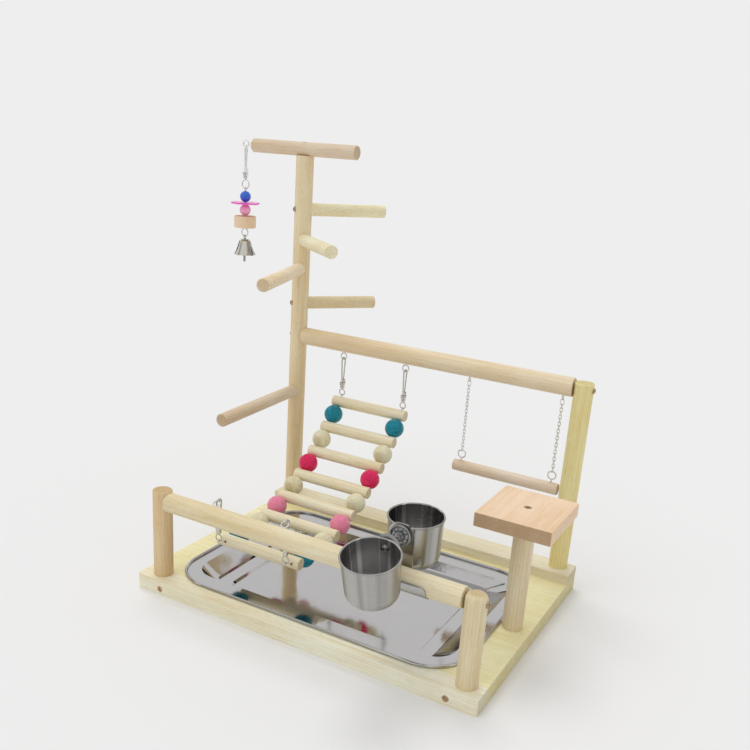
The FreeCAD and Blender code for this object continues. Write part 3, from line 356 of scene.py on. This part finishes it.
def moulded(name, colour, shade, rough=0.28, glow=0.0):
    """Glossy moulded or dipped colour with faint flow marks and handling wear."""
    t = Tree(name)
    p = t.local((0, 0, 0), Z)
    flow = t.noise(p, scale=160, detail=3)
    wear = t.noise(p, scale=900, detail=2)
    t.set("Base Color", t.mix(t.ramp(flow, 0.3, 0.75), colour, shade))
    t.set("Roughness", t.ramp(wear, 0.3, 0.8, rough - 0.06, rough + 0.14))
    t.set("Coat Weight", MOULD_COAT)
    t.set("Coat Roughness", 0.08)
    if glow:
        t.set("Subsurface Weight", glow)
        t.set("Subsurface Radius", MOULD_GLOW_REACH)
        t.set("Subsurface Scale", 1.0)
    t.bump(flow, 0.12, MOULD_RELIEF_DEPTH)
    return t.material


for name, colour, shade in (("teal", (0, 150, 172), (0, 94, 112)),
                            ("crimson", (240, 40, 106), (196, 14, 72)),
                            ("pink", (240, 150, 176), (226, 118, 152))):
    paint(name + "_beads", stained(name + "_stain", srgb(*colour), srgb(*shade)))
paint("blue_bead", moulded("blue_paint", srgb(42, 112, 228), srgb(26, 80, 194)))
paint("flower_washer", moulded("flower_plastic", srgb(252, 112, 214), srgb(240, 84, 196), 0.3,
                               0.1))
paint("pink_bead", moulded("pink_paint", srgb(255, 190, 226), srgb(255, 168, 212)))


# ---- metal --------------------------------------------------------------------------------

BRUSHED = (40, 40, 3500)      # cells per metre, the last along the axis
LINE_EDGE = (0.35, 0.65)
CLOUD_CELLS = 38
CLOUD_EDGE = (0.35, 0.70)
# painted reflection bands round the axis, broad and narrow
BROAD_REFLECTION_BANDS = (1.9, 1, 0.40, 0.62, 0.6)      # scale, detail, low and high end, share
NARROW_REFLECTION_BANDS = (7.5, 2, 0.36, 0.66, 0.4)
# painted glints on the cups' inner faces: scale, detail, low and high end
GLINTS = (5.5, 1, 0.56, 0.66)
INSIDE_SHADE = 0.50           # painted shade between the painted glints, as a share of their colour
INSIDE_EDGE = 2 * MM
ROUGH_LINE_SHARE = 0.6
ROUGH_SPREAD = (-0.05, 0.08)
ROUGH_LEAST = 0.02
LINE_HEIGHT = 0.02
WAVE_CELLS = 14


def steel(name, colour, shade, rough, origin=(0, 0, 0), along=Z, line=BRUSHED,
          line_depth=0.5, wave=0.0, smudge=0.5, painted_reflection_bands=0.0, deep=None, inside_glint_colour=None):
    """Metal with fine tool or brush lines across the given axis, and faint smudges.

    A depth of painted reflection bands, which run along the axis all round it, darkens the
    colour down to the deep colour. On the faces that look towards origin the inside colour
    makes painted glints, with painted shade between them."""
    t = Tree(name)
    p = t.local(origin, along)
    lines = t.noise(t.stretched(p, line), detail=3, rough=0.65)
    cloud = t.noise(p, scale=CLOUD_CELLS, detail=3)
    tone = t.math("ADD", t.math("MULTIPLY", t.ramp(lines, *LINE_EDGE), line_depth),
                  t.math("MULTIPLY", t.ramp(cloud, *CLOUD_EDGE), smudge * 0.5), clamp=True)
    face_colour = t.mix(tone, colour, shade)
    # painted reflection: bands round the axis darken the colour towards the deep colour
    if painted_reflection_bands:
        flat = t.vector("MULTIPLY", p, (1, 1, 0))
        bearing = t.vector("NORMALIZE", flat.outputs[0]).outputs[0]
        parts = []
        for scale, detail, low, high, share in (BROAD_REFLECTION_BANDS, NARROW_REFLECTION_BANDS):
            painted_band = t.ramp(t.noise(bearing, scale=scale, detail=detail), low, high)
            parts.append(t.math("MULTIPLY", painted_band, share))
        painted_band = t.math("ADD", *parts)
        face_colour = t.mix(t.math("MULTIPLY", painted_band, painted_reflection_bands), face_colour, deep)
    # painted reflection inside the cups: bright glints with painted shade between them
    if inside_glint_colour:
        move = t.vector("SUBTRACT", t.coords.outputs["Object"], origin)
        face = t.vector("DOT_PRODUCT", move.outputs[0], t.coords.outputs["Normal"])
        inward = t.ramp(face.outputs["Value"], -INSIDE_EDGE, INSIDE_EDGE, 1.0, 0.0)
        scale, detail, low, high = GLINTS
        glint = t.ramp(t.noise(bearing, scale=scale, detail=detail), low, high)
        painted_inside_reflection = t.mix(glint, darker(inside_glint_colour, INSIDE_SHADE), inside_glint_colour)
        face_colour = t.mix(inward, face_colour, painted_inside_reflection)
    t.set("Metallic", 1.0)
    t.set("Base Color", face_colour)
    smoother, rougher = ROUGH_SPREAD
    wear = t.math("ADD", t.math("MULTIPLY", lines, ROUGH_LINE_SHARE),
                  t.math("MULTIPLY", cloud, 1 - ROUGH_LINE_SHARE))
    t.set("Roughness", t.ramp(wear, 0.3, 0.7, max(rough + smoother, ROUGH_LEAST),
                              rough + rougher))
    height = t.math("MULTIPLY", lines, LINE_HEIGHT)
    if wave:
        swell = t.noise(p, scale=WAVE_CELLS, detail=1)
        height = t.math("ADD", height, t.math("MULTIPLY", swell, wave))
    t.bump(height, 1.0, 1.0 * MM)
    return t.material


ZINC = steel("zinc_wire", (0.86, 0.86, 0.85), (0.60, 0.60, 0.59), 0.22, line_depth=0.3)
for node in ("swing_eyes", "swing_chains", "swing_bar_eyes", "ladder_eyes", "ladder_wires",
             "toy_wire", "toy_ring"):
    paint(node, ZINC)
NICKEL = steel("hook_nickel", (0.66, 0.64, 0.59), (0.42, 0.40, 0.36), 0.2, line_depth=0.3)
for number in range(1, 5):
    for kind in ("ladder_hook_", "ladder_gate_", "ladder_hook_ring_"):
        paint(f"{kind}{number}", NICKEL)
BRIGHT = steel("bright_wire", (0.97, 0.97, 0.97), (0.80, 0.80, 0.80), 0.25, line_depth=0.2)
for node in ("toy_eye", "toy_hook", "toy_gate"):
    paint(node, BRIGHT)

EVEN_CELLS = (300, 300, 300)
paint("tray", steel("tray_steel", (0.54, 0.53, 0.53), (0.50, 0.49, 0.485), 0.06,
                    line=EVEN_CELLS, line_depth=0.15, wave=0.4, smudge=0.4))

CUP_LOOKS = {                 # lean from upright in degrees, roughness, depth of the painted reflection bands
    "front": (-12.0, 0.30, 0.45),
    "rear": (-2.6, 0.22, 0.75),
}
CUP_UP = {}
for side, (lean, rough, painted_reflection_bands) in CUP_LOOKS.items():
    angle = math.radians(lean)
    CUP_UP[side] = Vector((0, math.sin(angle), math.cos(angle)))
    paint(side + "_cup", steel(side + "_cup_steel", (0.52, 0.51, 0.49), (0.40, 0.39, 0.37),
                               rough, origin=centre(side + "_cup"), along=CUP_UP[side],
                               smudge=0.2, painted_reflection_bands=painted_reflection_bands, deep=(0.16, 0.155, 0.14),
                               inside_glint_colour=(0.90, 0.89, 0.88)))
    paint(side + "_cup_bolt", steel(side + "_bolt_steel", (0.40, 0.40, 0.39),
                                    (0.22, 0.22, 0.22), 0.12))
    paint(side + "_rosette", steel(side + "_chrome", (0.46, 0.46, 0.47), (0.14, 0.14, 0.14),
                                   0.08, line_depth=0.6))
paint("cup_saddle", steel("saddle_steel", (0.50, 0.49, 0.47), (0.36, 0.35, 0.33), 0.14))
# the bell's dark bands are painted reflection
paint("bell", steel("bell_nickel", (0.80, 0.78, 0.70), (0.60, 0.58, 0.50), 0.12,
                    origin=centre("bell"), line_depth=0.35, painted_reflection_bands=0.85,
                    deep=(0.05, 0.05, 0.04)))
paint("bell_clapper", steel("clapper_nickel", (0.42, 0.41, 0.40), (0.3, 0.3, 0.3), 0.25))
SCREW_CELLS = (500, 500, 500)
paint("wood_screws", steel("screw_bronze", srgb(226, 200, 158), srgb(150, 118, 92), 0.35,
                           line=SCREW_CELLS, line_depth=0.9))


# ---- finer nuts on the cup bolts ----------------------------------------------------------

NUT_R = 13.0                  # all in millimetres
NUT_SEAT = 1.8                # from the bolt's point on the tongue to the nut's flat side
NUT_TEETH = 24
NUT_TOOTH_DEPTH = 0.7
NUT_LOBES = 8
NUT_STEPS = 144
NUT_OUTLINE = (               # radius, height of the relief, how much the lobes lower it
    (NUT_R, 0.0, 0.0), (NUT_R, 2.6, 0.0), (NUT_R, 4.2, 0.0),
    (12.5, 4.9, 0.0), (11.6, 5.1, 0.0), (10.9, 4.7, 0.0),
    (10.5, 3.7, 0.2), (10.1, 3.4, 0.4), (9.6, 4.0, 1.0),
    (9.0, 4.9, 1.9), (8.2, 5.5, 2.2), (7.4, 5.6, 2.2),
    (6.7, 5.1, 1.9), (6.2, 4.3, 0.9), (5.9, 3.6, 0.3),
    (5.6, 3.8, 0.0), (5.3, 5.4, 0.0), (4.9, 6.1, 0.0),
    (4.2, 6.2, 0.0), (3.8, 6.0, 0.0), (3.4, 6.8, 0.0),
    (3.0, 7.0, 0.0), (2.6, 6.9, 0.0), (2.6, 0.0, 0.0),
)
BOLT_POINT = {                # where each bolt's axis meets its tongue
    "front": Vector((119.5, -176.44, 167.44)),
    "rear": Vector((119.5, -140.76, 168.39)),
}


def nut_mesh(name):
    """A round nut with a toothed rim and, on its outer side, rings and petal-like lobes."""
    points = []
    for radius, height, lobe in NUT_OUTLINE:
        for step in range(NUT_STEPS):
            angle = 2 * math.pi * step / NUT_STEPS
            reach = radius
            if radius == NUT_R:
                reach -= NUT_TOOTH_DEPTH * (0.5 + 0.5 * math.cos(NUT_TEETH * angle)) ** 2
            level = height - lobe * (0.5 - 0.5 * math.cos(NUT_LOBES * angle)) ** 2
            points.append((reach * math.cos(angle) * MM, reach * math.sin(angle) * MM,
                           level * MM))
    faces = []
    count = len(NUT_OUTLINE)
    for ring_index in range(count):
        this = ring_index * NUT_STEPS
        following = ((ring_index + 1) % count) * NUT_STEPS
        for step in range(NUT_STEPS):
            after = (step + 1) % NUT_STEPS
            faces.append((this + step, this + after, following + after, following + step))
    mesh = bpy.data.meshes.new(name)
    mesh.from_pydata(points, [], faces)
    for polygon in mesh.polygons:
        polygon.use_smooth = True
    return mesh


def placed(x_axis, y_axis, z_axis, place):
    """The matrix with these axes as its columns, at this place."""
    rows = [tuple(column[row] for column in (x_axis, y_axis, z_axis, place))
            for row in range(3)]
    return Matrix(rows + [(0, 0, 0, 1)])


for side, up in CUP_UP.items():
    inward = up.cross(X) if side == "front" else X.cross(up)
    nut = bpy.data.objects.new(side + "_nut", nut_mesh(side + "_nut"))
    seat = (BOLT_POINT[side] + inward * NUT_SEAT) * MM
    nut.matrix_world = placed(up.cross(inward), up, inward, seat)
    bpy.context.scene.collection.objects.link(nut)
    nut.data.materials.append(bpy.data.materials[side + "_chrome"])
    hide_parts(side + "_rosette")
    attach(nut, side + "_rosette")


# ---- floor and light ----------------------------------------------------------------------

BACKDROP = srgb(238, 238, 238)
FLOOR_HALF = 12.0             # in metres
FLOOR_DROP = 0.05 * MM        # just below the base's own faces
WORLD_LEVEL = 0.64            # share of the light that comes evenly from all around
LAMPS = (                     # name, direction, share of the floor's light, angular size
    ("front_key", Vector((0.34, 0.50, -1.0)), 0.16, 46.0),
    ("back_key", Vector((0.30, -0.30, -1.0)), 0.20, 30.0),
)


def matt(name, colour):
    """Rough paint without any shine, for what stands around the object."""
    look = Tree(name)
    look.set("Base Color", rgba(colour))
    look.set("Roughness", 1.0)
    look.set("Specular IOR Level", 0.0)
    return look.material


def sheet(name, corners, material):
    """One flat face."""
    mesh = bpy.data.meshes.new(name)
    mesh.from_pydata(corners, [], [tuple(range(len(corners)))])
    mesh.materials.append(material)
    flat = bpy.data.objects.new(name, mesh)
    bpy.context.scene.collection.objects.link(flat)
    return flat


floor = sheet("floor", [(-FLOOR_HALF, -FLOOR_HALF, 0), (FLOOR_HALF, -FLOOR_HALF, 0),
                        (FLOOR_HALF, FLOOR_HALF, 0), (-FLOOR_HALF, FLOOR_HALF, 0)],
              matt("floor", BACKDROP))
floor.location.z = -FLOOR_DROP

world = bpy.data.worlds.new("studio")
bpy.context.scene.world = world
world.use_nodes = True
tree = world.node_tree
rays = tree.nodes.new("ShaderNodeLightPath")
seen = rays.outputs["Is Camera Ray"]
for kind in ("Is Glossy Ray", "Is Transmission Ray"):
    either = tree.nodes.new("ShaderNodeMath")
    either.operation = "MAXIMUM"
    tree.links.new(seen, either.inputs[0])
    tree.links.new(rays.outputs[kind], either.inputs[1])
    seen = either.outputs[0]
shade = tree.nodes.new("ShaderNodeMix")
shade.data_type = "RGBA"
tree.links.new(seen, shade.inputs["Factor"])
shade.inputs[MIX_A].default_value = grey(WORLD_LEVEL)
shade.inputs[MIX_B].default_value = rgba(BACKDROP)
background = tree.nodes["Background"]
tree.links.new(shade.outputs[MIX_RESULT], background.inputs["Color"])
background.inputs["Strength"].default_value = 1.0

for lamp_name, lamp_direction, share, size in LAMPS:
    direction = lamp_direction.normalized()
    lamp = bpy.data.lights.new(lamp_name, "SUN")
    lamp.angle = math.radians(size)
    lamp.energy = share * math.pi / abs(direction.z)
    lamp_object = bpy.data.objects.new(lamp_name, lamp)
    lamp_object.rotation_mode = "QUATERNION"
    lamp_object.rotation_quaternion = direction.to_track_quat("-Z", "Y")
    lamp_object.visible_glossy = False
    bpy.context.scene.collection.objects.link(lamp_object)

# dark upright flags round the stand that only mirror-like surfaces see, in metres
FLAG_TONE = (0.03, 0.03, 0.03)
FLAG_RADIUS = 2.2
FLAGS = (                     # middle and half width in degrees from +X, low and high edge
    (12.9, 13.0, 0.02, 0.85),
    (73.0, 12.0, 0.75, 2.30),
    (115.7, 12.0, 0.02, 0.72),
    (167.1, 13.0, 0.02, 0.85),
    (205.0, 9.0, 0.02, 0.85),
    (240.0, 10.0, 0.02, 1.10),
    (285.0, 11.0, 0.02, 0.85),
    (321.0, 12.0, 0.02, 0.85),
)
FLAG_HIDDEN_FROM = ("camera", "diffuse", "transmission", "volume_scatter", "shadow")
flag_paint = matt("flag", FLAG_TONE)
for number, (middle, half, low, high) in enumerate(FLAGS):
    (x1, y1), (x2, y2) = [
        (FLAG_RADIUS * math.cos(end), FLAG_RADIUS * math.sin(end))
        for end in (math.radians(middle - half), math.radians(middle + half))]
    flag = sheet(f"flag_{number}", [(x1, y1, low), (x2, y2, low), (x2, y2, high),
                                    (x1, y1, high)], flag_paint)
    for kind in FLAG_HIDDEN_FROM:
        setattr(flag, "visible_" + kind, False)


# ---- camera -------------------------------------------------------------------------------

CAMERA_PLACE = Vector((488.6, -921.4, 576.6)) * MM
CAMERA_YAW = 0.5007           # in radians
CAMERA_PITCH = -0.3371
CAMERA_ROLL = 0.0637
FRAME_SIDE = 750.0            # the photograph's width and height, in pixels
FOCAL = 871.74                # the lens and the optical centre, also in pixels
CENTRE_X = 361.26
CENTRE_Y = 439.14
SENSOR_WIDTH = 36.0
CLIP_END = 50.0

ahead = Vector((-math.sin(CAMERA_YAW) * math.cos(CAMERA_PITCH),
                math.cos(CAMERA_YAW) * math.cos(CAMERA_PITCH), math.sin(CAMERA_PITCH)))
level_right = Vector((math.cos(CAMERA_YAW), math.sin(CAMERA_YAW), 0))
level_up = level_right.cross(ahead)
right = level_right * math.cos(CAMERA_ROLL) + level_up * math.sin(CAMERA_ROLL)
upward = level_up * math.cos(CAMERA_ROLL) - level_right * math.sin(CAMERA_ROLL)
camera = bpy.data.cameras.new("camera")
camera.sensor_width = SENSOR_WIDTH
camera.lens = FOCAL / FRAME_SIDE * camera.sensor_width
camera.shift_x = (FRAME_SIDE / 2 - CENTRE_X) / FRAME_SIDE
camera.shift_y = (CENTRE_Y - FRAME_SIDE / 2) / FRAME_SIDE
camera.clip_end = CLIP_END
camera_object = bpy.data.objects.new("camera", camera)
camera_object.matrix_world = placed(right, upward, -ahead, CAMERA_PLACE)
bpy.context.scene.collection.objects.link(camera_object)
bpy.context.scene.camera = camera_object

bpy.context.scene.view_settings.view_transform = "Standard"
